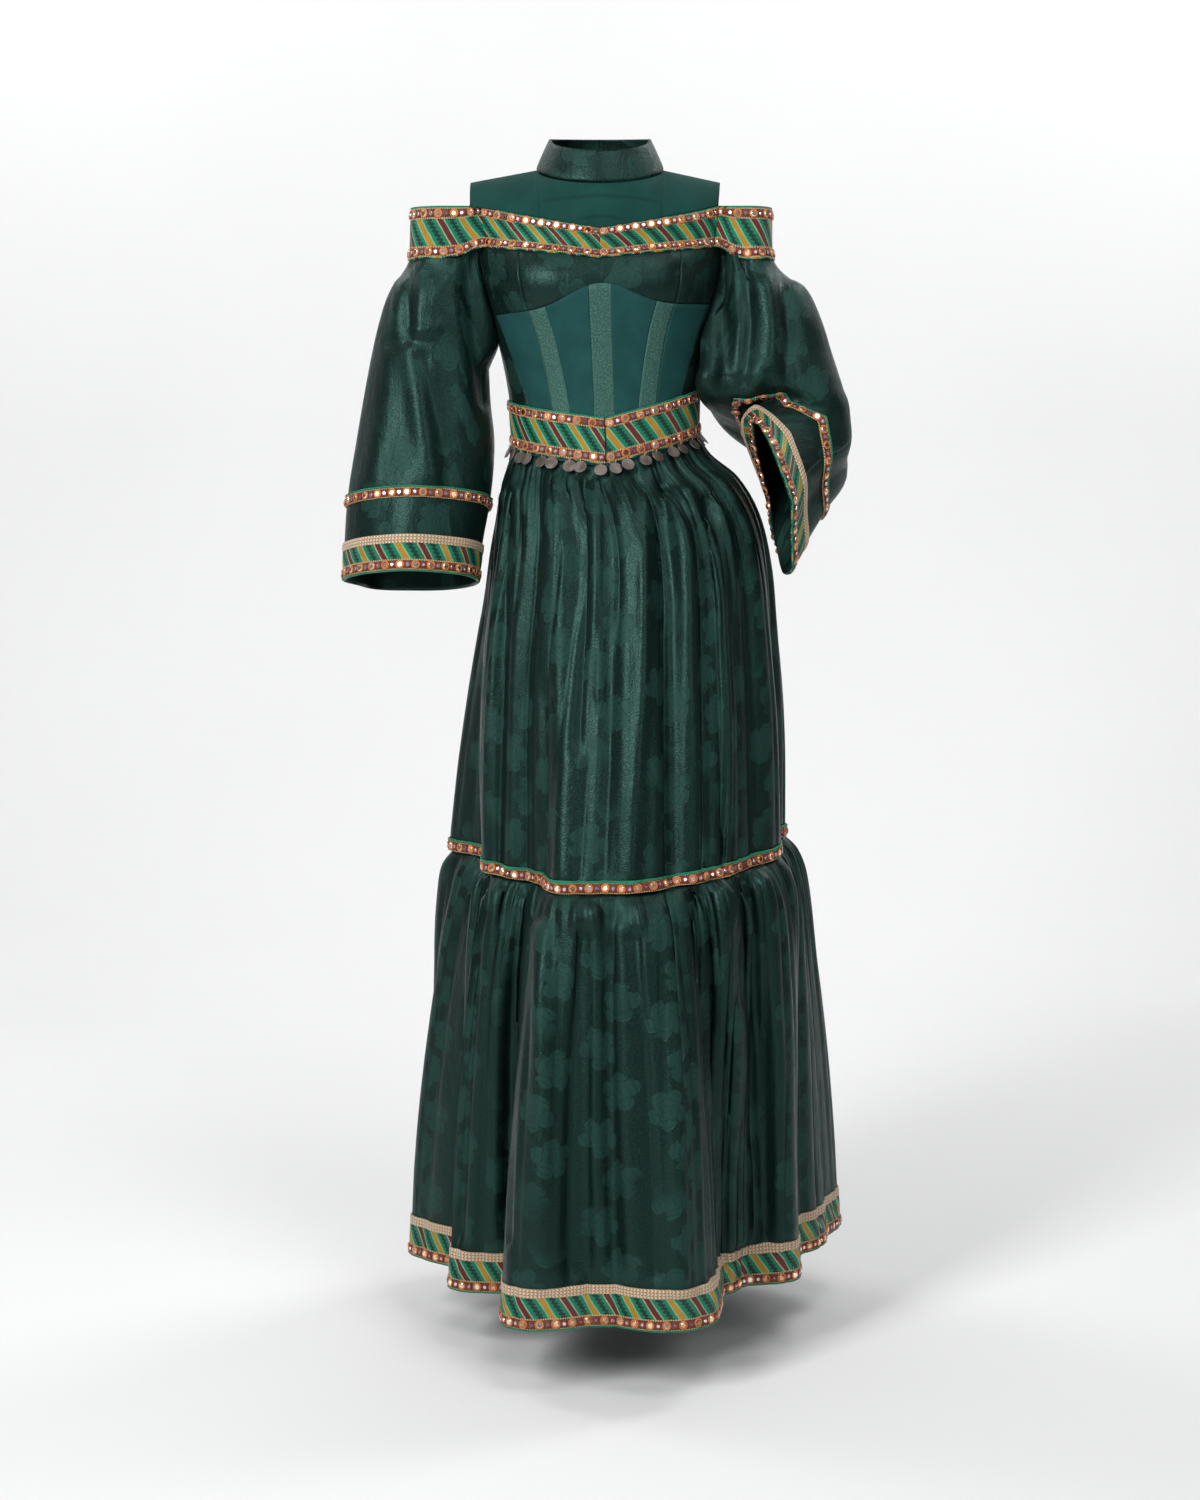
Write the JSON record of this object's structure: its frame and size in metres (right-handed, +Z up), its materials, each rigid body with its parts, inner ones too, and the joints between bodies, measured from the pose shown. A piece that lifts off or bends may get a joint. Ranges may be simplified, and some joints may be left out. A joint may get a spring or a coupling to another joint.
{
  "type": "embroidered satin dress",
  "caption": "Full-length satin dress with a stand collar, mesh yoke, bare-shoulder sleeves, mirror-work trims, a coin-fringed belt and a gathered flounce, held in the pose in which it is worn.",
  "frame": {"origin": "the middle of the shoulder line, where the wearer's shoulders carry the dress", "axes": "+Z up from hem to collar, -Y the way the front faces, +X towards the wearer's left"},
  "size_m": [0.6586, 0.6191, 1.4673],
  "materials": {
    "satin": "dark green jacquard satin with tone-on-tone flowers and a soft sheen",
    "mesh": "fine matt teal mesh, nearly opaque",
    "embroidery": "machine embroidered trim with slanting green, mustard and burgundy stripes",
    "mirror_trim": "narrow copper embroidered trim that holds a row of small mirrors",
    "braid": "twisted beige braid",
    "mirrors": "small polished discs",
    "ring_copper": "copper orange stitched rings round the mirrors",
    "ring_burgundy": "burgundy stitched rings round the mirrors",
    "bead_thread": "cream zigzag stitch that edges the stripes",
    "coins": "dull dark antiqued discs"
  },
  "bodies": {
    "root": {"stand_collar": "satin", "yoke_front": "mesh", "yoke_back_left": "mesh", "yoke_back_right": "mesh", "bust_centre": "satin", "bust_side_left": "satin", "bust_side_right": "satin", "strip_centre": "satin", "strip_side_left": "satin", "strip_side_right": "satin", "mesh_inner_left": "mesh", "mesh_inner_right": "mesh", "mesh_outer_left": "mesh", "mesh_outer_right": "mesh", "side_panel_left": "satin", "side_panel_right": "satin", "back_panel_left": "satin", "back_panel_right": "satin", "band_front_left": "embroidery", "band_front_right": "embroidery", "band_back_left": "embroidery", "band_back_right": "embroidery", "belt_left": "embroidery", "belt_right": "embroidery", "coins_front_left": "coins", "coins_front_right": "coins", "coins_back_left": "coins", "coins_back_right": "coins", "skirt_front_left": "satin", "skirt_front_right": "satin", "skirt_back_left": "satin", "skirt_back_right": "satin", "tier_trim_front": "mirror_trim", "tier_trim_back": "mirror_trim", "flounce_front_left": "satin", "flounce_front_right": "satin", "flounce_back_left": "satin", "flounce_back_right": "satin", "hem_braid_front": "braid", "hem_braid_back": "braid", "hem_band_front": "embroidery", "hem_band_back": "embroidery", "sleeve_front_left": "satin", "sleeve_back_left": "satin", "sleeve_front_right": "satin", "sleeve_back_right": "satin", "sleeve_band_left": "embroidery", "sleeve_band_right": "embroidery", "sleeve_trim_left": "mirror_trim", "sleeve_trim_right": "mirror_trim", "sleeve_braid_left": "braid", "sleeve_braid_right": "braid", "cuff_band_left": "embroidery", "cuff_band_right": "embroidery"}
  },
  "joints": []
}
